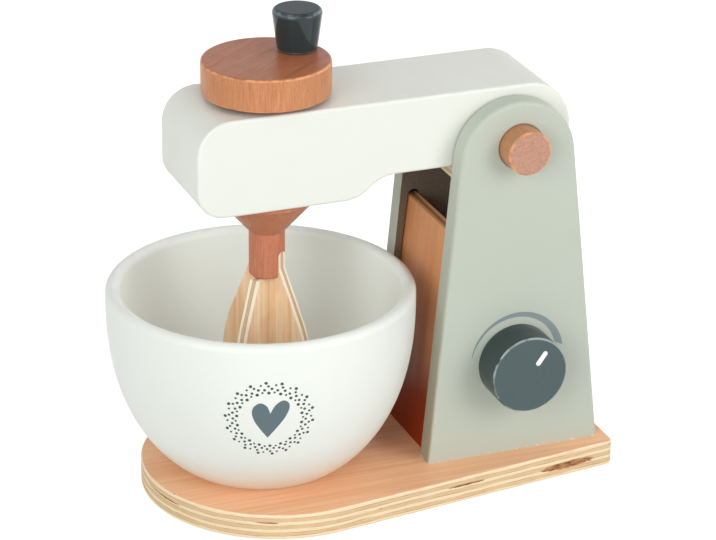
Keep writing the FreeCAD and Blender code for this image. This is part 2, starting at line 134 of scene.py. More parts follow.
# How far a surface looks along a piece's axis where its rounded edges start, are full and end.
roundedEdge = [(0.16, black), (0.45, white), (0.8, white), (0.985, black)]
patchyWear = (0.34, 0.6)        # noise levels at which rubbing starts and is full


def arris(tree, axis):
    # 1 on the rounded edges between the flat faces and the sides
    return ramp(tree, facing(tree, axis), roundedEdge)


def relief(tree, height, depth, strength=1.0, under=None):
    feeds = {"Height": height, "Distance": depth * mm, "Strength": strength}
    if under:
        feeds["Normal"] = under
    return add(tree, "Bump", feeds).outputs[0]


def wear(tree, mask, point, amount, cell):
    # the mask broken up by noise, so that rubbing looks uneven
    patch = remap(tree, fibre(tree, point, (cell, cell, cell), detail=4.0), *patchyWear)
    return calc(tree, "MULTIPLY", calc(tree, "MULTIPLY", mask, patch), amount)


def spot(tree, across, up, place, reach, ragged):
    # 1 inside a ragged ellipse: place and reach are in mm, along the two coordinates given
    halves = []
    for value, centre, half in zip((across, up), place, reach):
        off = calc(tree, "DIVIDE", calc(tree, "SUBTRACT", value, centre * mm), half * mm)
        halves.append(calc(tree, "MULTIPLY", off, off))
    far = calc(tree, "ADD", calc(tree, "ADD", halves[0], halves[1]), ragged)
    return remap(tree, far, 0.75, 1.25, 1.0, 0.0)


def dress(names, mat):
    for name in names:
        slots = nodes[name].data.materials
        slots.clear()
        slots.append(mat)


# Plywood: a birch face veneer with a warm lacquer, plies and voids on the sawn edges.
plyLook = {
    "face": [(0.25, screen(234, 174, 132)), (0.5, screen(249, 194, 152)), (0.75, screen(255, 211, 172))],
    "pore": screen(208, 140, 98),
    "longPly": screen(247, 226, 190),
    "endPly": screen(231, 198, 156),
    "glueLine": screen(166, 116, 72),
    "gap": screen(112, 66, 36),
    "arris": screen(255, 236, 204),
    "rubbed": 0.85,         # how much of the arris shows pale
    "rubbedCell": 9.0,      # mm, size of the rubbed patches
    "faceRough": 0.34,
    "edgeRough": 0.6,
    "shine": 0.18,
    "figure": 0.5,          # how strongly the broad figure shows in the face
    "gapsFrom": 0.70,       # noise level from which a ply has an open gap
    # mm along the grain, across it and through the board
    "streakCell": (95, 2.6, 20), "figureCell": (48, 19, 60), "poreCell": (4.2, 0.28, 2.0),
    "wobbleCell": (24, 24, 8), "lineCell": (15, 15, 2.2), "speckCell": (0.55, 0.55, 0.25),
    "longFibreCell": (16, 16, 0.32), "gapCell": (13, 13, 0.9), "satinCell": (30, 3, 10),
    "wobble": 0.075,        # of the board's thickness
    "lineHalf": 0.11,       # of a ply, half the width of a glue line
    "lineDeep": 0.12, "streakHigh": 0.04, "poreDeep": 0.03,     # mm of relief
}


def plyFace(tree, point, look):
    streaks = fibre(tree, point, look["streakCell"], detail=5.0, rough=0.62, warp=0.35)
    face = ramp(tree, streaks, look["face"])
    figure = remap(tree, fibre(tree, point, look["figureCell"], detail=3.0, warp=0.4), 0.36, 0.62)
    deep = blendColour(tree, 0.75, face, look["face"][0][1])
    face = blendColour(tree, calc(tree, "MULTIPLY", figure, look["figure"]), face, deep)
    pores = remap(tree, fibre(tree, point, look["poreCell"], detail=2.0), 0.6, 0.74, 0.0, 0.32)
    return blendColour(tree, pores, face, look["pore"]), streaks, pores


def plyEdge(tree, point, across, start, thickness, plies, look):
    # the depth through the board picks the ply, a little wobble keeps the plies from being ruled
    wobble = calc(tree, "SUBTRACT", fibre(tree, point, look["wobbleCell"], detail=3.0), 0.5)
    depth = calc(tree, "DIVIDE", calc(tree, "SUBTRACT", across, start * mm), thickness * mm)
    depth = calc(tree, "ADD", depth, calc(tree, "MULTIPLY", wobble, look["wobble"]))
    step, thin = 1 / plies, look["lineHalf"] / plies
    seam = 0.02 * step      # over which one ply's tone turns into the next
    tones, lines, ends = [], [], []
    for i in range(plies):
        tone = look["endPly"] if i % 2 else look["longPly"]
        share = white if i % 2 else black
        here, there = i * step + (seam if i else 0.0), (i + 1) * step - seam
        tones += [(here, tone), (there, tone)]
        ends += [(here, share), (there, share)]
        if i < plies - 1:
            lines += [((i + 1) * step - thin, black), ((i + 1) * step, white), ((i + 1) * step + thin, black)]
    edge = ramp(tree, depth, tones)
    isEnd = ramp(tree, depth, ends)
    lineMask = calc(tree, "MULTIPLY", ramp(tree, depth, lines),
                    remap(tree, fibre(tree, point, look["lineCell"], detail=3.0), 0.36, 0.6, 0.12, 0.95))
    # end grain is speckled, long grain has thin dark fibres
    specks = remap(tree, fibre(tree, point, look["speckCell"], detail=3.0), 0.5, 0.72, 0.0, 0.4)
    edge = blendColour(tree, calc(tree, "MULTIPLY", specks, isEnd), edge, look["glueLine"])
    longFibre = fibre(tree, point, look["longFibreCell"], detail=3.0, rough=0.6)
    edge = blendColour(tree, remap(tree, longFibre, 0.54, 0.74, 0.0, 0.45), edge, look["glueLine"])
    edge = blendColour(tree, lineMask, edge, look["glueLine"])
    opened = fibre(tree, point, look["gapCell"], detail=2.0, warp=0.3)
    gaps = remap(tree, opened, look["gapsFrom"], look["gapsFrom"] + 0.03)
    gaps = calc(tree, "MULTIPLY", gaps, remap(tree, lineMask, 0.0, 0.25, 0.25, 1.0))
    return blendColour(tree, gaps, edge, look["gap"]), lineMask, gaps


def plywood(name, axes, start, thickness, plies, look=plyLook, shift=(0, 0, 0), tint=None, marks=None):
    # axes: along the grain, across it and through the board; start: mm along the third, to the board's low face
    mat, tree, shader = startFinish(name, look["shine"])
    point, parts = grainPoint(tree, axes, shift)
    face, streaks, pores = plyFace(tree, point, look)
    if tint:
        face = blendColour(tree, 1.0, face, tint(tree), "MULTIPLY")
    edge, lines, gaps = plyEdge(tree, point, parts[2], start, thickness, plies, look)
    if marks:
        face, edge, gaps = marks(tree, point, parts, face, edge, gaps)
    top = remap(tree, facing(tree, axes[2]), 0.62, 0.8)
    colour = blendColour(tree, top, edge, face)
    rubbed = wear(tree, arris(tree, axes[2]), point, look["rubbed"], look["rubbedCell"])
    colour = blendColour(tree, rubbed, colour, look["arris"])
    tree.links.new(colour, shader.inputs["Base Color"])
    satin = look["faceRough"]
    rough = remap(tree, fibre(tree, point, look["satinCell"]), 0.3, 0.7, satin - 0.05, satin + 0.07)
    rough = blendColour(tree, top, (look["edgeRough"],) * 3 + (1.0,), rough)
    tree.links.new(rough, shader.inputs["Roughness"])
    dips = calc(tree, "ADD", calc(tree, "MULTIPLY", lines, 0.6), gaps)
    dips = calc(tree, "MULTIPLY", dips, calc(tree, "SUBTRACT", 1.0, top))
    bump = relief(tree, calc(tree, "SUBTRACT", 1.0, dips), look["lineDeep"], 0.8)
    bump = relief(tree, streaks, look["streakHigh"], 0.5, under=bump)
    tree.links.new(relief(tree, pores, -look["poreDeep"], 0.6, under=bump), shader.inputs["Normal"])
    return mat


# Beech, stained and turned.
beechLook = {
    "side": [(0.2, screen(170, 103, 65)), (0.42, screen(198, 131, 89)), (0.6, screen(210, 146, 103)),
             (0.82, screen(226, 167, 123))],
    # the flat faces take the same stain painted darker than the side, painted shade over their lying grain
    "top": [(0.25, screen(148, 84, 56)), (0.5, screen(174, 105, 72)), (0.75, screen(196, 126, 88))],
    "fleck": screen(146, 84, 50),
    # arris and rubbed: a paler arris colour in patches, a painted highlight along the rounded edges
    "arris": screen(244, 172, 120),
    "rubbed": 0.85,         # how much of the arris shows pale
    "rubbedCell": 5.0,      # mm, size of the rubbed patches
    "rough": 0.34,
    "shine": 0.24,
    "mottled": False,       # end grain on the flat ends, not grain that lies in them
    # mm along the end face's grain, across it and along the piece's axis
    "standingCell": (0.75, 0.75, 13), "broadCell": (7, 7, 30), "fleckCell": (0.24, 0.24, 1.5),
    "lyingCell": (24, 0.8, 3), "lyingFleck": (2.6, 0.26, 0.6),
    "mottleCell": (1.5, 1.1, 1.5), "mottleFleck": (0.42, 0.36, 0.4),
    "cloudCell": (18, 9, 9), "satinCell": (6, 6, 20),
    "grainHigh": 0.06, "fleckDeep": 0.04, "ringHigh": 0.012,        # mm of relief
}


def beech(name, axis, topGrain, look=beechLook, shift=(0, 0, 0), rings=0.0):
    # axis: the turned piece's own axis, topGrain: way of the grain on its end faces
    mat, tree, shader = startFinish(name, look["shine"])
    third = tuple(Vector(axis).cross(Vector(topGrain)).normalized())
    point, _ = grainPoint(tree, (topGrain, third, axis), shift)
    standing = fibre(tree, point, look["standingCell"], detail=5.0, rough=0.66, warp=0.15)
    side = ramp(tree, standing, look["side"])
    broad = remap(tree, fibre(tree, point, look["broadCell"], detail=3.0), 0.35, 0.65, 0.0, 0.5)
    side = blendColour(tree, broad, side, look["side"][1][1])
    flecks = remap(tree, fibre(tree, point, look["fleckCell"], detail=1.0), 0.6, 0.7, 0.0, 0.38)
    side = blendColour(tree, flecks, side, look["fleck"])
    if look["mottled"]:
        lying = fibre(tree, point, look["mottleCell"], detail=5.0, rough=0.7, warp=0.3)
        specks = look["mottleFleck"]
    else:
        lying = fibre(tree, point, look["lyingCell"], detail=4.0, rough=0.62, warp=0.4)
        specks = look["lyingFleck"]
    top = ramp(tree, lying, look["top"])
    cloud = remap(tree, fibre(tree, point, look["cloudCell"], detail=2.0), 0.35, 0.65, 0.0, 0.35)
    top = blendColour(tree, cloud, top, look["top"][1][1])
    topFlecks = remap(tree, fibre(tree, point, specks, detail=1.0), 0.61, 0.72, 0.0, 0.5)
    top = blendColour(tree, topFlecks, top, look["fleck"])
    onTop = remap(tree, facing(tree, axis), 0.6, 0.85)
    colour = blendColour(tree, onTop, side, top)
    # painted highlight on the rounded edges, in patches
    rubbed = wear(tree, arris(tree, axis), point, look["rubbed"], look["rubbedCell"])
    colour = blendColour(tree, rubbed, colour, look["arris"])
    tree.links.new(colour, shader.inputs["Base Color"])
    satin = look["rough"]
    rough = remap(tree, fibre(tree, point, look["satinCell"]), 0.3, 0.7, satin - 0.04, satin + 0.05)
    tree.links.new(rough, shader.inputs["Roughness"])
    bump = relief(tree, blendColour(tree, onTop, standing, lying), look["grainHigh"], 0.6)
    bump = relief(tree, calc(tree, "ADD", flecks, topFlecks), -look["fleckDeep"], 0.5, under=bump)
    if rings:
        # faint lathe rings round the axis, that many mm apart
        depth = add(tree, "SeparateXYZ", {0: point}).outputs[2]
        wave = calc(tree, "SINE", calc(tree, "MULTIPLY", depth, 2 * math.pi / (rings * mm)))
        bump = relief(tree, wave, look["ringHigh"], 0.35, under=bump)
    tree.links.new(bump, shader.inputs["Normal"])
    return mat


# Sprayed paint, the same on the arm, the bowl, the panels and the knobs.
spray = {
    "cloudCell": (45, 45, 45), "cloudShade": (0.985, 0.985, 0.98, 1.0),     # soft clouds in tone
    "dustCell": (0.7, 0.7, 0.7), "dustShade": (0.8, 0.79, 0.76, 1.0),
    "dustFrom": 0.735, "dustFull": 0.79,        # noise levels, higher for less dust
    "patchCell": (18, 18, 18),      # mm, patches in the gloss
    "waveCell": (14, 14, 14),       # mm, the slow waves of the ground under the paint
}


def paintedSkin(tree, shader, point, colour, rough, peel=0.018, cell=0.9, waves=0.12, specks=0.25):
    # peel and waves: mm of height, cell: mm across the orange peel's dimples, specks: how much the dust shows
    clouds = remap(tree, fibre(tree, point, spray["cloudCell"], detail=3.0), 0.3, 0.7)
    shade = blendColour(tree, clouds, spray["cloudShade"], white)
    skin = blendColour(tree, 1.0, colour, shade, "MULTIPLY")
    dust = fibre(tree, point, spray["dustCell"], detail=1.0)
    dust = remap(tree, dust, spray["dustFrom"], spray["dustFull"], 0.0, specks)
    skin = blendColour(tree, dust, skin, blendColour(tree, 1.0, skin, spray["dustShade"], "MULTIPLY"))
    patch = fibre(tree, point, spray["patchCell"], detail=4.0)
    tree.links.new(remap(tree, patch, 0.3, 0.7, rough - 0.05, rough + 0.08), shader.inputs["Roughness"])
    orange = fibre(tree, point, (cell, cell, cell), detail=2.0)
    bump = relief(tree, orange, peel, 0.5)
    bump = relief(tree, dust, peel, 0.6, under=bump)
    wide = fibre(tree, point, spray["waveCell"], detail=2.0)
    return skin, relief(tree, wide, waves, 0.25, under=bump)


armPaint = {
    "colour": screen(234, 236, 228),
    "edge": screen(243, 244, 238),
    "rough": 0.42,
    "rubbed": 0.6,          # how much of the arris shows paler
    "rubbedCell": 8.0,      # mm, size of the rubbed patches
    "shine": 0.4,
}


def armFinish():
    mat, tree, shader = startFinish("offWhiteArmPaint", armPaint["shine"])
    point, _ = grainPoint(tree, (xAxis, yAxis, zAxis))
    skin, bump = paintedSkin(tree, shader, point, armPaint["colour"], armPaint["rough"])
    rubbed = wear(tree, arris(tree, yAxis), point, armPaint["rubbed"], armPaint["rubbedCell"])
    skin = blendColour(tree, rubbed, skin, armPaint["edge"])
    tree.links.new(skin, shader.inputs["Base Color"])
    tree.links.new(bump, shader.inputs["Normal"])
    return mat


bowlPaint = {
    "outside": screen(240, 243, 238),
    # the same paint as the outside, painted lighter: painted light on the bowl's inner walls
    "insideLit": screen(250, 255, 251),
    "lip": screen(236, 240, 235),
    "rough": 0.42,
    "shine": 0.4,
    "lipFrom": 96.0, "lipFull": 97.5,       # mm above the ground, where the rim starts to wear
    "worn": 0.6,            # how much of the rim shows the lip's colour
    "wornCell": 10.0,       # mm, size of the worn patches
    "ringEvery": 2.3,       # mm between the lathe's faint rings
    "ringHigh": 0.01,       # mm
}


def bowlFinish():
    mat, tree, shader = startFinish("offWhiteBowlPaint", bowlPaint["shine"])
    point, parts = grainPoint(tree, (xAxis, yAxis, zAxis))
    centre = (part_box("bowl")[0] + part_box("bowl")[1]) / 2
    # inside or outside: does the surface look away from the bowl's axis?
    spoke = add(tree, "VectorMath", {0: point, 1: tuple(centre)}, operation="SUBTRACT").outputs[0]
    spoke = add(tree, "VectorMath", {0: spoke, 1: (1, 1, 0)}, operation="MULTIPLY").outputs[0]
    outward = add(tree, "VectorMath", {0: add(tree, "TexCoord").outputs["Normal"], 1: spoke},
                  operation="DOT_PRODUCT").outputs["Value"]
    outside = remap(tree, outward, -6 * mm, 6 * mm)
    # the inner walls take the lighter colour, painted light
    colour = blendColour(tree, outside, bowlPaint["insideLit"], bowlPaint["outside"])
    skin, bump = paintedSkin(tree, shader, point, colour, bowlPaint["rough"])
    lip = remap(tree, parts[2], bowlPaint["lipFrom"] * mm, bowlPaint["lipFull"] * mm)
    worn = wear(tree, lip, point, bowlPaint["worn"], bowlPaint["wornCell"])
    skin = blendColour(tree, worn, skin, bowlPaint["lip"])
    tree.links.new(skin, shader.inputs["Base Color"])
    wave = calc(tree, "SINE", calc(tree, "MULTIPLY", parts[2], 2 * math.pi / (bowlPaint["ringEvery"] * mm)))
    tree.links.new(relief(tree, wave, bowlPaint["ringHigh"], 0.3, under=bump), shader.inputs["Normal"])
    return mat


panelPaint = {
    "colour": screen(192, 199, 187),
    "edge": screen(226, 224, 208),
    "inner": [(0.3, screen(112, 100, 88)), (0.7, screen(132, 119, 105))],   # dark brown on the inner face, painted shade of the closed column
    "innerShadeCell": (1.2, 1.2, 1.2),       # mm
    # near black, painted shade in the routed grooves
    "groove": screen(24, 17, 12),
    "grooveReach": 3.4,     # mm to each side of a plate's middle
    "grooveDeep": 4.1,      # mm into the panel
    "brown": (0.66, 0.57, 0.49, 1.0),   # multiplies the paint of the front edge, in full at the foot: painted shade and warm bounce from the bowl
    "shadeFrom": 14.0, "shadeTo": 150.0,        # mm above the ground
    "raw": screen(232, 214, 184),       # bare wood at the chips
    "rough": 0.5,
    "shine": 0.4,
    "peel": 0.025, "peelCell": 0.7,     # mm
    "rubbed": 0.8,          # how much of the arris shows pale
    "rubbedCell": 14.0,     # mm, size of the rubbed patches
    "rubbedBelow": 50.0, "rubbedLittle": 120.0,     # mm above the ground, most of it is low down
    "chipHigh": 13.1,       # mm above the ground, chips at the foot of the panel
    "chipCell": (2.4, 2.4, 2.4), "chipDeep": 0.1,       # mm
}
thinArris = [(0.3, black), (0.42, white), (0.55, white), (0.72, black)]     # as roundedEdge, but narrower


def plateMiddle(node):
    # a leaning plate's normal, and how far along it the plate's two faces lie
    mesh = nodes[node].data
    biggest = max(mesh.polygons, key=lambda p: p.area)
    normal = biggest.normal.copy()
    if normal.x < 0:
        normal.negate()
    depths = [v.co.dot(normal) for v in mesh.vertices]
    return normal, min(depths), max(depths)


def grooveMask(tree, point, parts):
    # 1 in the routed grooves: near a plate's middle plane, and deeper than the inner face
    near = None
    for node in ("front_plate", "rear_plate"):
        normal, low, high = plateMiddle(node)
        off = calc(tree, "ABSOLUTE", calc(tree, "SUBTRACT", along(tree, point, tuple(normal)), (low + high) / 2))
        reach = panelPaint["grooveReach"] * mm
        band = remap(tree, off, reach - 0.2 * mm, reach, 1.0, 0.0)
        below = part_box(node)[1].z + panelPaint["grooveReach"] * mm
        band = calc(tree, "MULTIPLY", band, calc(tree, "LESS_THAN", parts[2], below))
        near = calc(tree, "MAXIMUM", near, band) if near else band
    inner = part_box("plain_side_panel")[0].y
    deep = remap(tree, calc(tree, "ABSOLUTE", parts[1]), inner + 0.1 * mm, inner + 0.3 * mm)
    floor = inner + panelPaint["grooveDeep"] * mm
    shallow = remap(tree, calc(tree, "ABSOLUTE", parts[1]), floor, floor + 0.3 * mm, 1.0, 0.0)
    return calc(tree, "MULTIPLY", near, calc(tree, "MULTIPLY", deep, shallow))


def panelFinish(name, node, inward):
    # inward: the way that the panel's inner face looks
    mat, tree, shader = startFinish(name, panelPaint["shine"])
    point, parts = grainPoint(tree, (xAxis, yAxis, zAxis))
    skin, bump = paintedSkin(tree, shader, point, panelPaint["colour"], panelPaint["rough"], panelPaint["peel"],
                             panelPaint["peelCell"])
    # the arris is rubbed pale in a thin line, mostly low down
    line = ramp(tree, facing(tree, yAxis), thinArris)
    share = remap(tree, parts[2], panelPaint["rubbedBelow"] * mm, panelPaint["rubbedLittle"] * mm, 1.0, 0.25)
    line = calc(tree, "MULTIPLY", line, share)
    rubbed = wear(tree, line, point, panelPaint["rubbed"], panelPaint["rubbedCell"])
    skin = blendColour(tree, rubbed, skin, panelPaint["edge"])
    # towards the foot the edge by the bowl is painted brown, painted shade and warm bounce from the bowl
    towardsFoot = remap(tree, parts[2], panelPaint["shadeFrom"] * mm, panelPaint["shadeTo"] * mm, 1.0, 0.0)
    byBowl = remap(tree, facing(tree, (-1, 0, 0), True), 0.6, 0.9)
    bowlShaded = blendColour(tree, 1.0, skin, panelPaint["brown"], "MULTIPLY")
    skin = blendColour(tree, calc(tree, "MULTIPLY", byBowl, towardsFoot), skin, bowlShaded)
    # the inner face is painted dark brown, painted shade inside the closed column
    innerShade = ramp(tree, fibre(tree, point, panelPaint["innerShadeCell"], detail=4.0), panelPaint["inner"])
    skin = blendColour(tree, remap(tree, facing(tree, inward, True), 0.75, 0.95), skin, innerShade)
    # the grooves are painted near black, painted shade in the recess
    skin = blendColour(tree, grooveMask(tree, point, parts), skin, panelPaint["groove"])
    # tiny chips along the foot
    foot = remap(tree, parts[2], (panelPaint["chipHigh"] - 0.5) * mm, panelPaint["chipHigh"] * mm, 1.0, 0.0)
    chips = remap(tree, fibre(tree, point, panelPaint["chipCell"], detail=2.0), 0.56, 0.6)
    chips = calc(tree, "MULTIPLY", foot, chips)
    skin = blendColour(tree, chips, skin, panelPaint["raw"])
    tree.links.new(skin, shader.inputs["Base Color"])
    chipped = relief(tree, chips, -panelPaint["chipDeep"], 0.7, under=bump)
    tree.links.new(chipped, shader.inputs["Normal"])
    dress([node], mat)


# gloss is the clear coat's weight, rubbed how much of the arris shows the edge colour, a painted highlight broken up
# in patches.
slateLook = {
    # face and side are one lacquer, the side painted darker as painted shade
    "dial": {"face": screen(75, 91, 93), "side": screen(50, 64, 64), "edge": screen(172, 186, 188),
             "rough": 0.3, "shine": 0.28, "gloss": 0.1},
    "knob": {"face": screen(52, 62, 68), "side": screen(48, 58, 61), "edge": screen(118, 132, 140),
             "rough": 0.2, "shine": 0.06, "gloss": 0.55},
    "faceGloss": 0.06, "coatRough": 0.08,
    "rubbed": 0.8, "rubbedCell": 6.0,       # the cell in mm
    "peel": 0.008, "peelCell": 0.8, "waves": 0.03,      # mm
    "specks": 0.06,
}


def slateLacquer(name, axis, kind):
    look = slateLook[kind]
    mat, tree, shader = startFinish(name, look["shine"])
    point, _ = grainPoint(tree, (xAxis, yAxis, zAxis))
    # the side is the face's lacquer painted darker, painted shade
    colour = blendColour(tree, remap(tree, facing(tree, axis), 0.6, 0.9), look["side"], look["face"])
    skin, bump = paintedSkin(tree, shader, point, colour, look["rough"], slateLook["peel"], slateLook["peelCell"],
                             slateLook["waves"], slateLook["specks"])
    # painted highlight on the arris, in patches
    rubbed = wear(tree, arris(tree, axis), point, slateLook["rubbed"], slateLook["rubbedCell"])
    skin = blendColour(tree, rubbed, skin, look["edge"])
    tree.links.new(skin, shader.inputs["Base Color"])
    tree.links.new(bump, shader.inputs["Normal"])
    # the flat face is dulled by hands, the side keeps its gloss
    coat = remap(tree, facing(tree, axis), 0.5, 0.9, look["gloss"], slateLook["faceGloss"])
    tree.links.new(coat, shader.inputs["Coat Weight"])
    shader.inputs["Coat Roughness"].default_value = slateLook["coatRough"]
    return mat


# The screws and washers, zinc plated, and the crank's nylon washer. cell and high are in mm.
hardwareLook = {
    "zincPlatedSteel": {"cell": (0.4, 0.4, 6), "detail": 3.0, "dark": screen(168, 170, 172),
                        "light": screen(206, 207, 204), "rough": (0.28, 0.42), "high": 0.01, "metal": 1.0},
    "whiteNylon": {"cell": (1.5, 1.5, 1.5), "detail": 4.0, "dark": screen(222, 222, 218),
                   "light": screen(236, 236, 232), "rough": (0.42, 0.55), "high": 0.01, "metal": 0.0},
}


def hardwareFinish(name):
    look = hardwareLook[name]
    mat, tree, shader = startFinish(name)
    point, _ = grainPoint(tree, (xAxis, yAxis, zAxis))
    grain = fibre(tree, point, look["cell"], detail=look["detail"])
    tree.links.new(ramp(tree, grain, [(0.3, look["dark"]), (0.7, look["light"])]), shader.inputs["Base Color"])
    tree.links.new(remap(tree, grain, 0.3, 0.7, *look["rough"]), shader.inputs["Roughness"])
    tree.links.new(relief(tree, grain, look["high"], 0.5), shader.inputs["Normal"])
    shader.inputs["Metallic"].default_value = look["metal"]
    return mat


# Marks that the board has in the photo: brown patches in its sawn edge, a speck on its face.
boardMarks = {
    # mm: (x, z) and half sizes on the edge towards the dial
    "edge": [((131.0, 5.2), (13.5, 1.7)), ((77.0, 8.2), (9.0, 0.5)), ((-20.7, 8.2), (4.6, 0.34)),
             ((-55.0, 8.0), (3.2, 0.4))],
    # mm: (x, y) and half sizes on the face
    "face": [((-53.2, -23.6), (0.55, 0.55))],
    "brown": [(0.35, screen(104, 60, 34)), (0.48, screen(160, 104, 64)), (0.6, screen(200, 146, 98))],
    "speck": screen(104, 52, 26),
    "grainCell": (3.5, 3.5, 0.5),       # mm, of the patches' ragged outline
    "ragged": 1.8,
}
thickPly = {"thickness": 12.0, "plies": 7}      # mm, the board and the arm rest
thinPly = {"thickness": 5.0, "plies": 3}        # mm, the whisk's blades and the column's plates


def markBoard(tree, point, parts, face, edge, gaps):
    grain = fibre(tree, point, boardMarks["grainCell"], detail=4.0, rough=0.7)
    ragged = calc(tree, "MULTIPLY", calc(tree, "SUBTRACT", grain, 0.5), boardMarks["ragged"])
    mask = None
    for place, reach in boardMarks["edge"]:
        one = spot(tree, parts[0], parts[2], place, reach, ragged)
        mask = calc(tree, "MAXIMUM", mask, one) if mask else one
    dialSide = remap(tree, parts[1], -4 * mm, 0.0, 1.0, 0.0)
    mask = calc(tree, "MULTIPLY", mask, dialSide)
    edge = blendColour(tree, mask, edge, ramp(tree, grain, boardMarks["brown"]))
    for place, reach in boardMarks["face"]:
        face = blendColour(tree, spot(tree, parts[0], parts[1], place, reach, 0.0), face, boardMarks["speck"])
    return face, edge, calc(tree, "MAXIMUM", gaps, calc(tree, "MULTIPLY", mask, 0.5))


# The shifts move a piece to a place of its own in the grain.
dress(["base_board"], plywood("boardPlywood", (xAxis, yAxis, zAxis), 0.0, thickPly["thickness"], thickPly["plies"],
                              shift=(0.02, 0.31, 0.0), marks=markBoard))
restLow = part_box("arm_rest")[0]
dress(["arm_rest"], plywood("armRestPlywood", (yAxis, xAxis, zAxis), restLow.z / mm, thickPly["thickness"],
                            thickPly["plies"], shift=(0.7, 0.2, 0.0)))

# The column's plates lean, so their grain and plies lean with them. Their faces are painted darker and redder below,
# painted shade of the bowl and its warm bounce.
plateLook = dict(plyLook)
plateLook.update({
    "face": [(0.25, screen(213, 144, 94)), (0.5, screen(224, 159, 110)), (0.75, screen(236, 177, 130))],
    "pore": screen(160, 90, 46),
    "longPly": screen(232, 180, 132),
    "endPly": screen(182, 126, 84),
    "glueLine": screen(96, 58, 32),
    "arris": screen(236, 186, 138),
    "shine": 0.06,
})
plateShade = {
    "low": (0.43, 0.11, 0.02, 1.0),
    "high": white,
    "from": 32.0, "to": 69.0,      # mm above the ground
}


def shadeLowerPlate(tree):
    # painted shade: the face darker and redder towards the foot
    high = along(tree, add(tree, "TexCoord").outputs["Object"], zAxis)
    share = remap(tree, high, plateShade["from"] * mm, plateShade["to"] * mm)
    return blendColour(tree, share, plateShade["low"], plateShade["high"])


def plateFinish(node, shift):
    normal, low, high = plateMiddle(node)
    up = (-normal.z, 0.0, normal.x)
    axes = (up, yAxis, tuple(normal))
    mat = plywood(node + "Plywood", axes, low / mm, (high - low) / mm, thinPly["plies"], plateLook, shift, shadeLowerPlate)
    dress([node], mat)


plateFinish("front_plate", (0.4, 0.1, 0.0))
plateFinish("rear_plate", (0.1, 0.5, 0.0))

# The whisk's two crossed blades.
bladeLook = dict(plyLook)
bladeLook.update({
    "face": [(0.3, screen(230, 180, 132)), (0.5, screen(250, 216, 178)), (0.68, screen(255, 242, 218))],
    "pore": screen(198, 144, 98),
    "longPly": screen(255, 246, 226),
    "endPly": screen(226, 190, 150),
    "glueLine": screen(140, 94, 58),
    "gapsFrom": 0.76,
    "figure": 0.7,
    "shine": 0.3,
})
bladeAngle = {"whisk_blade_a": -53.5, "whisk_blade_b": 36.5}        # degrees from +X
for i, (node, angle) in enumerate(bladeAngle.items()):
    a = math.radians(angle)
    wide = (math.cos(a), math.sin(a), 0.0)
    normal = (-math.sin(a), math.cos(a), 0.0)
    dress([node], plywood(node + "Plywood", (zAxis, wide, normal), -thinPly["thickness"] / 2, thinPly["thickness"],
                          thinPly["plies"], bladeLook, (0.9 * i, 0.3, 0.2)))

# The turned pieces.
grainTurn = math.radians(38)        # of the disc's grain, from +X
discGrain = (math.cos(grainTurn), math.sin(grainTurn), 0.0)
dress(["crank_disc"], beech("discBeech", zAxis, discGrain, shift=(0.05, 0.11, 0.0)))

# The hub's top stops colour its flare, which faces down and is painted darker than its neck, painted shade.
hubLook = dict(beechLook)
hubLook.update({
    "side": [(0.2, screen(176, 104, 75)), (0.42, screen(198, 123, 94)), (0.6, screen(208, 135, 104)),
             (0.82, screen(220, 152, 121))],
    "top": [(0.25, screen(134, 79, 58)), (0.5, screen(155, 96, 73)), (0.75, screen(173, 113, 89))],
    "fleck": screen(150, 84, 54),
    "rubbed": 0.12,
})
dress(["whisk_hub"], beech("hubBeech", zAxis, xAxis, hubLook, (0.3, 0.2, 0.1), rings=1.6))

dowelLook = dict(beechLook)
dowelLook.update({
    "side": [(0.2, screen(168, 110, 73)), (0.42, screen(191, 133, 94)), (0.6, screen(201, 145, 104)),
             (0.82, screen(212, 159, 118))],
    "top": [(0.25, screen(164, 111, 91)), (0.5, screen(193, 145, 124)), (0.75, screen(212, 168, 147))],
    "fleck": screen(150, 96, 70),
    "mottled": True,
})
dowelGrain = (discGrain[0], 0.0, discGrain[1])
dress(["pivot_dowels"], beech("dowelBeech", yAxis, dowelGrain, dowelLook, (0.6, 0.4, 0.2)))

bareLook = dict(beechLook)
bareLook.update({
    "side": [(0.2, screen(206, 168, 122)), (0.42, screen(222, 186, 142)), (0.6, screen(230, 196, 152)),
             (0.82, screen(238, 208, 168))],
    "top": [(0.2, screen(206, 168, 122)), (0.42, screen(222, 186, 142)), (0.6, screen(230, 196, 152))],
    "fleck": screen(180, 138, 94),
    "mottled": True,
})
dress(["drive_shaft"], beech("shaftBeech", zAxis, xAxis, bareLook))
dress(["arm_rest_pins"], beech("pinBeech", yAxis, xAxis, bareLook, (0.2, 0.1, 0.3)))

dress(["arm"], armFinish())
dress(["bowl"], bowlFinish())
panelFinish("sageDialPanel", "dial_side_panel", yAxis)
panelFinish("sagePlainPanel", "plain_side_panel", (0, -1, 0))
dress(["dial_knob"], slateLacquer("slateDial", yAxis, "dial"))
dress(["crank_knob"], slateLacquer("slateKnob", zAxis, "knob"))
zincNodes = ["base_screws", "crank_knob_screw", "crank_knob_washer", "dial_screw", "dial_washer"]
dress(zincNodes, hardwareFinish("zincPlatedSteel"))
dress(["crank_washer"], hardwareFinish("whiteNylon"))
print("finishes are on the nodes")


# Printed marks, each a thin closed skin of ink that sits on its surface.
inkLook = {
    "high": 0.05,           # mm above the surface
    "sunk": 0.03,           # mm below it, so that no gap shows
    "grainCell": (0.5, 0.5, 0.5), "grainHigh": 0.008,       # mm
    "thin": 1.35,           # how much lighter the ink is where it is thin
    "shine": 0.35,
    "rough": 0.5, "pointerRough": 0.45,
}


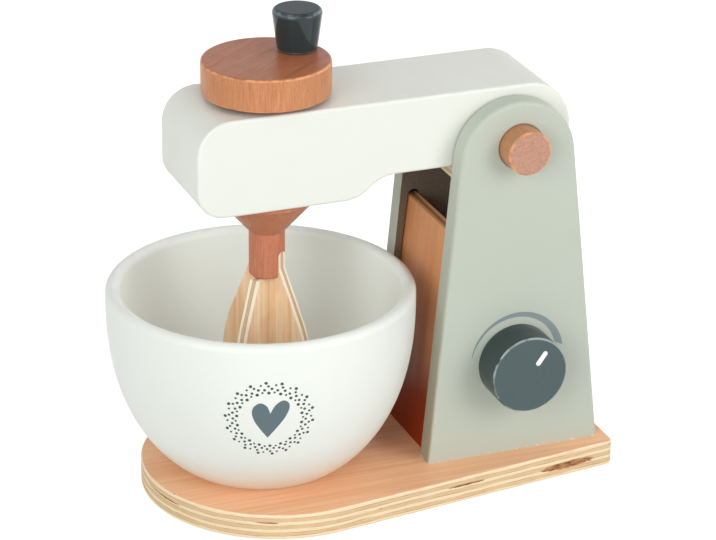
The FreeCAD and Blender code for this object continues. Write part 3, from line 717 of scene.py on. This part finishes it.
def inkFinish(name, colour, rough=inkLook["rough"]):
    mat, tree, shader = startFinish(name, inkLook["shine"])
    point, _ = grainPoint(tree, (xAxis, yAxis, zAxis))
    grain = fibre(tree, point, inkLook["grainCell"], detail=3.0)
    thin = tuple(min(1.0, c * inkLook["thin"]) for c in colour[:3]) + (1.0,)
    tree.links.new(ramp(tree, grain, [(0.3, colour), (0.62, colour), (0.8, thin)]), shader.inputs["Base Color"])
    tree.links.new(remap(tree, grain, 0.3, 0.7, rough - 0.05, rough + 0.06), shader.inputs["Roughness"])
    tree.links.new(relief(tree, grain, inkLook["grainHigh"], 0.5), shader.inputs["Normal"])
    return mat


def linkInk(name, bm, mat, body):
    bmesh.ops.recalc_face_normals(bm, faces=bm.faces)
    mesh = bpy.data.meshes.new(name)
    bm.to_mesh(mesh)
    bm.free()
    mesh.materials.append(mat)
    piece = bpy.data.objects.new(name, mesh)
    scene.collection.objects.link(piece)
    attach(piece, body)


def inkPiece(name, shapes, place, mat, body):
    # shapes: lists of rings of (u, v) points from the middle outwards, place: (u, v, height) to a point
    bm = bmesh.new()
    for rings in shapes:
        top, low = [[[bm.verts.new(place(u, v, height * mm)) for u, v in ring] for ring in rings]
                    for height in (inkLook["high"], -inkLook["sunk"])]
        count = len(rings[-1])
        turns = [(i, (i + 1) % count) for i in range(count)]
        for rows in (top, low):
            for i, j in turns:
                bm.faces.new([rows[0][0], rows[1][i], rows[1][j]])
            for inner, outer in zip(rows[1:], rows[2:]):
                for i, j in turns:
                    bm.faces.new([inner[i], outer[i], outer[j], inner[j]])
        for i, j in turns:
            bm.faces.new([top[-1][i], low[-1][i], low[-1][j], top[-1][j]])
    linkInk(name, bm, mat, body)


def dot(u, v, r, corners=14):
    ring = [(u + r * math.cos(2 * math.pi * i / corners), v + r * math.sin(2 * math.pi * i / corners))
            for i in range(corners)]
    return [[(u, v)], ring]


# The heart in its wreath of dots, on the front of the bowl.
bowlPrint = {
    "turn": -106.56,        # degrees round the bowl's axis, from +X
    "high": 61.7,           # mm, centre above the ground
    # mm, half the heart from its notch to its tip
    "half": [(0.0, 3.6), (1.9, 7.7), (5.0, 9.6), (7.6, 7.9), (8.15, 4.8), (6.7, 0.4), (3.7, -4.4), (0.0, -9.5)],
    "tilt": 6.5,            # degrees
    "lean": 0.2,            # how far the heart's top is pushed to the right
    "spokes": 18,           # dots in a ring
    # each ring of dots: mm from the centre, mm radius of a dot, degrees of the first dot
    "rows": [(19.5, 0.74, -5.5), (18.55, 0.5, 1.6), (17.9, 0.58, -8.3), (16.6, 0.64, 6.8), (16.1, 0.62, -2.2),
             (14.85, 0.5, 2.0), (14.5, 0.74, -8.6)],
    "ink": screen(95, 112, 119),
    "dotInk": screen(72, 78, 78),
}
bowlMesh = nodes["bowl"].data
bowlTree = bvhtree.BVHTree.FromPolygons([v.co for v in bowlMesh.vertices], [p.vertices for p in bowlMesh.polygons])
bowlMiddle = (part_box("bowl")[0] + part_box("bowl")[1]) / 2
faceTurn = math.radians(bowlPrint["turn"])


def bowlHit(turn, z):
    # the outer face of the bowl, seen from well outside it
    axis = Vector((bowlMiddle.x, bowlMiddle.y, z))
    way = Vector((math.cos(turn), math.sin(turn), 0.0))
    hit, normal, _, _ = bowlTree.ray_cast(axis + way * 200 * mm, -way)
    return hit, normal, (hit - axis).length


def onBowl(u, v, height):
    # wraps a flat drawing in mm round the bowl: u runs to the right as seen from in front, v up
    hit, normal, r = bowlHit(faceTurn, bowlPrint["high"] * mm)
    up = (Vector(zAxis) - normal * normal.z).normalized()
    spotHit, out, _ = bowlHit(faceTurn + u * mm / r, (hit + up * v * mm).z)
    return spotHit + out * height


def heartRings(layers=9, between=8):
    # a smooth curve through half a heart's points and their mirror image, sharp at the notch and the tip
    half = bowlPrint["half"]
    mirror = [(-x, y) for x, y in reversed(half)]
    outline = []
    for side in (half, mirror):
        for k in range(len(side) - 1):
            a, b = Vector(side[max(k - 1, 0)]), Vector(side[k])
            c, d = Vector(side[k + 1]), Vector(side[min(k + 2, len(side) - 1)])
            for i in range(between):
                t = i / between
                outline.append(0.5 * (2 * b + (c - a) * t + (2 * a - 5 * b + 4 * c - d) * t ** 2
                                      + (3 * b - a - 3 * c + d) * t ** 3))
    c, s = math.cos(math.radians(bowlPrint["tilt"])), math.sin(math.radians(bowlPrint["tilt"]))
    turned = []
    for x, y in outline:
        x += y * bowlPrint["lean"]
        turned.append((x * c - y * s, x * s + y * c))
    return [[(0.0, 0.0)]] + [[(x * k / layers, y * k / layers) for x, y in turned] for k in range(1, layers + 1)]


inkPiece("bowl_heart_print", [heartRings()], onBowl, inkFinish("heartInk", bowlPrint["ink"]), "bowl")
wreath = []
for reach, size, start in bowlPrint["rows"]:
    for k in range(bowlPrint["spokes"]):
        a = math.radians(start + 360 * k / bowlPrint["spokes"])
        wreath.append(dot(reach * math.cos(a), reach * math.sin(a), size))
inkPiece("bowl_dots_print", wreath, onBowl, inkFinish("dotInk", bowlPrint["dotInk"]), "bowl")

# The crescent that swells round the dial, and the dial's pointer.
dialPrint = {
    "outer": 23.0,          # mm, the crescent's outer radius
    "middle": (1.0, 0.9),   # mm from the dial's axis
    "start": 171.0,         # degrees from +X, the thin tip
    "endOuter": 8.5, "endInner": 16.5,      # degrees, the thick end's two corners
    "thin": 0.25, "thick": 3.55,    # mm
    "swell": 0.8,           # below 1 the crescent thickens early
    "steps": 72,
    "ink": screen(134, 148, 148),
    "pointer": 54.0,        # degrees
    "pointerFrom": 6.6, "pointerTo": 12.0, "pointerHalf": 1.2,      # mm
    "white": screen(248, 250, 248),
}
dialLow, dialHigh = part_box("dial_knob")
dialX, dialZ = (dialLow.x + dialHigh.x) / 2, (dialLow.z + dialHigh.z) / 2
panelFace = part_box("dial_side_panel")[0].y


def onPanel(u, v, height):
    return Vector((dialX + u * mm, panelFace - height, dialZ + v * mm))


def onDial(u, v, height):
    return Vector((dialX + u * mm, dialLow.y - height, dialZ + v * mm))


def crescentSide(end, share):
    # the outer side has share 0, the inner side 1
    line = []
    for i in range(dialPrint["steps"] + 1):
        k = i / dialPrint["steps"]
        a = math.radians(dialPrint["start"] + (end - dialPrint["start"]) * k)
        swell = dialPrint["thin"] + (dialPrint["thick"] - dialPrint["thin"]) * k ** dialPrint["swell"]
        r = dialPrint["outer"] - swell * share
        line.append((dialPrint["middle"][0] + r * math.cos(a), dialPrint["middle"][1] + r * math.sin(a)))
    return line


def crescentPiece(name, mat):
    outer, inner = crescentSide(dialPrint["endOuter"], 0.0), crescentSide(dialPrint["endInner"], 1.0)
    bm = bmesh.new()
    a, b, c, d = ([bm.verts.new(onPanel(u, v, height * mm)) for u, v in line]
                  for height in (inkLook["high"], -inkLook["sunk"]) for line in (outer, inner))
    last = len(outer) - 1
    for i in range(last):
        for near, far in ((a, b), (c, d), (a, c), (b, d)):
            bm.faces.new([near[i], near[i + 1], far[i + 1], far[i]])
    for i in (0, last):
        bm.faces.new([a[i], b[i], d[i], c[i]])
    linkInk(name, bm, mat, "stand")


crescentPiece("dial_scale_print", inkFinish("scaleInk", dialPrint["ink"]))


def pillRings(near, far, half, angle, corners=12):
    # a bar with round ends, from near to far mm from the middle
    a = math.radians(angle)
    way, across = (math.cos(a), math.sin(a)), (-math.sin(a), math.cos(a))
    outline = []
    for centre, begin in ((far, -90), (near, 90)):
        for i in range(corners + 1):
            t = math.radians(begin + 180 * i / corners)
            p, q = centre + half * math.cos(t), half * math.sin(t)
            outline.append((p * way[0] + q * across[0], p * way[1] + q * across[1]))
    middle = (near + far) / 2
    centre = (middle * way[0], middle * way[1])
    inset = [((x + centre[0]) / 2, (y + centre[1]) / 2) for x, y in outline]
    return [[centre], inset, outline]


pointer = pillRings(dialPrint["pointerFrom"], dialPrint["pointerTo"], dialPrint["pointerHalf"], dialPrint["pointer"])
pointerInk = inkFinish("pointerInk", dialPrint["white"], inkLook["pointerRough"])
inkPiece("dial_pointer_print", [pointer], onDial, pointerInk, "dial")
print("prints are on the bowl, the panel and the dial")


floorLook = {
    "size": 6.0,            # metres
    "under": 0.2,           # mm below the board's underside
    "cloud": 2.0,           # clouds in its tone to a metre
    "colour": (0.72, 0.72, 0.71, 1.0),
    "lift": 0.64,           # what the camera sees on top of the floor's own light
    "sky": 0.51,            # strength of the plain light from all round
}


def seenByEye(tree):
    # 1 for what the camera sees, straight or in gloss, and 0 for light that falls on the toy
    path = add(tree, "LightPath")
    seen = calc(tree, "ADD", path.outputs["Is Camera Ray"], path.outputs["Is Glossy Ray"])
    seen = calc(tree, "ADD", seen, path.outputs["Is Transmission Ray"])
    return calc(tree, "MINIMUM", seen, 1.0)


def buildFloor():
    half = floorLook["size"] / 2
    mesh = bpy.data.meshes.new("studio_floor")
    mesh.from_pydata([(-half, -half, 0), (half, -half, 0), (half, half, 0), (-half, half, 0)], [], [(0, 1, 2, 3)])
    floor = bpy.data.objects.new("studio_floor", mesh)
    floor.location.z = -floorLook["under"] * mm
    scene.collection.objects.link(floor)
    mat = bpy.data.materials.new("paleFloor")
    mat.use_nodes = True
    tree = mat.node_tree
    tree.nodes.clear()
    point = add(tree, "TexCoord").outputs["Object"]
    tone = add(tree, "TexNoise", {"Vector": point, "Scale": floorLook["cloud"]}).outputs[0]
    low = tuple(c * 0.99 for c in floorLook["colour"][:3]) + (1.0,)
    colour = ramp(tree, tone, [(0.3, low), (0.7, floorLook["colour"])])
    matte = add(tree, "BsdfDiffuse", {"Color": colour}).outputs[0]
    lift = calc(tree, "MULTIPLY", seenByEye(tree), floorLook["lift"])
    glow = add(tree, "Emission", {"Color": white, "Strength": lift}).outputs[0]
    both = add(tree, "AddShader", {0: matte, 1: glow}).outputs[0]
    add(tree, "OutputMaterial", {0: both})
    mesh.materials.append(mat)


def buildSky():
    world = bpy.data.worlds.new("studioSky")
    world.use_nodes = True
    tree = world.node_tree
    tree.nodes.clear()
    soft = add(tree, "Background", {"Color": white, "Strength": floorLook["sky"]}).outputs[0]
    plain = add(tree, "Background", {"Color": white, "Strength": 1.0}).outputs[0]
    mixed = add(tree, "MixShader", {0: seenByEye(tree), 1: soft, 2: plain}).outputs[0]
    add(tree, "OutputWorld", {0: mixed})
    scene.world = world


lampAim = (0.045, 0.0, 0.10)        # metres
lampTall = 1.2                      # height to width
lamps = {
    # degrees round from -Y towards +X, degrees up, metres off, metres wide, watts, colour
    "key": (36.0, 21.0, 1.30, 0.70, 6.4, (1.0, 1.0, 0.985)),
    "fill": (-48.0, 21.0, 1.30, 0.70, 6.8, (0.97, 1.0, 0.985)),
    "back": (108.0, 34.0, 1.30, 0.60, 1.8, (1.0, 1.0, 1.0)),
}


def buildLamps():
    aim = Vector(lampAim)
    for name, (turn, rise, off, wide, watts, colour) in lamps.items():
        light = bpy.data.lights.new(name + "Softbox", "AREA")
        light.shape = "RECTANGLE"
        light.size, light.size_y = wide, wide * lampTall
        light.energy = watts
        light.color = colour
        lamp = bpy.data.objects.new(name + "Softbox", light)
        a, e = math.radians(turn), math.radians(rise)
        way = Vector((math.sin(a) * math.cos(e), -math.cos(a) * math.cos(e), math.sin(e)))
        lamp.location = aim + way * off
        lamp.rotation_mode = "QUATERNION"
        lamp.rotation_quaternion = (-way).to_track_quat("-Z", "Y")
        scene.collection.objects.link(lamp)


shot = {
    "place": (-431.16, -1203.06, 662.64),   # mm
    "yaw": 0.375, "pitch": -0.4026, "roll": 0.0089,     # radians, yaw from +Y towards +X
    "lens": 155.45, "sensor": 36.0,     # mm
    "shift": (0.0047, -0.0397),     # of the frame's width
    "clip": (0.05, 50.0),   # metres
}


def buildCamera():
    data = bpy.data.cameras.new("shotCamera")
    data.lens = shot["lens"]
    data.sensor_width = shot["sensor"]
    data.shift_x, data.shift_y = shot["shift"]
    data.clip_start, data.clip_end = shot["clip"]
    camera = bpy.data.objects.new("shotCamera", data)
    yaw, pitch, roll = shot["yaw"], shot["pitch"], shot["roll"]
    ahead = Vector((math.sin(yaw) * math.cos(pitch), math.cos(yaw) * math.cos(pitch), math.sin(pitch)))
    right = Vector((math.cos(yaw), -math.sin(yaw), 0.0))
    up = right.cross(ahead)
    rightTurned = right * math.cos(roll) + up * math.sin(roll)
    upTurned = up * math.cos(roll) - right * math.sin(roll)
    turn = Matrix((rightTurned, upTurned, -ahead)).transposed().to_4x4()
    camera.matrix_world = Matrix.Translation(Vector(shot["place"]) * mm) @ turn
    scene.collection.objects.link(camera)
    scene.camera = camera


buildFloor()
buildSky()
buildLamps()
buildCamera()
scene.view_settings.view_transform = "Standard"
print("floor, light and camera are set")
